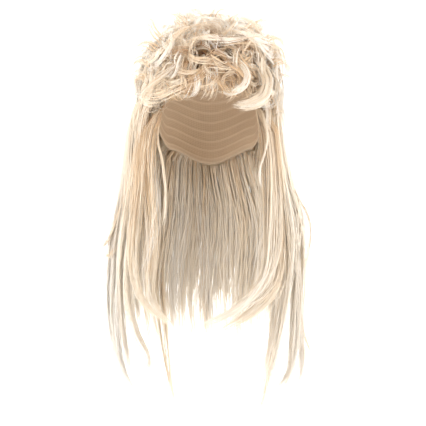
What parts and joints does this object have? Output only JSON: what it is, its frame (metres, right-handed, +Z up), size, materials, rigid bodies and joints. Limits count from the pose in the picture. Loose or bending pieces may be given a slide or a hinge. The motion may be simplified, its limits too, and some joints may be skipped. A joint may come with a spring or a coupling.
{
  "type": "synthetic wig",
  "caption": "Pale blonde synthetic mullet wig: short tousled curls over the crown and forehead, and long straight hair falling past the shoulders at the sides and back from a knitted cap.",
  "frame": {"origin": "inside top of the cap, where the crown of the head touches it", "axes": "+Z up, the wearer faces -Y, and the wearer's left is +X"},
  "size_m": [0.2878, 0.2575, 0.5834],
  "materials": {
    "hair_fibre": "silky pale blonde fibre",
    "cap_knit": "matt stretch knit"
  },
  "bodies": {
    "root": {"wig_cap": "cap_knit", "fringe_curls": "hair_fibre", "crown_curls": "hair_fibre", "side_fall_left": "hair_fibre", "side_fall_right": "hair_fibre", "back_fall_left": "hair_fibre", "back_fall_right": "hair_fibre"}
  },
  "joints": []
}
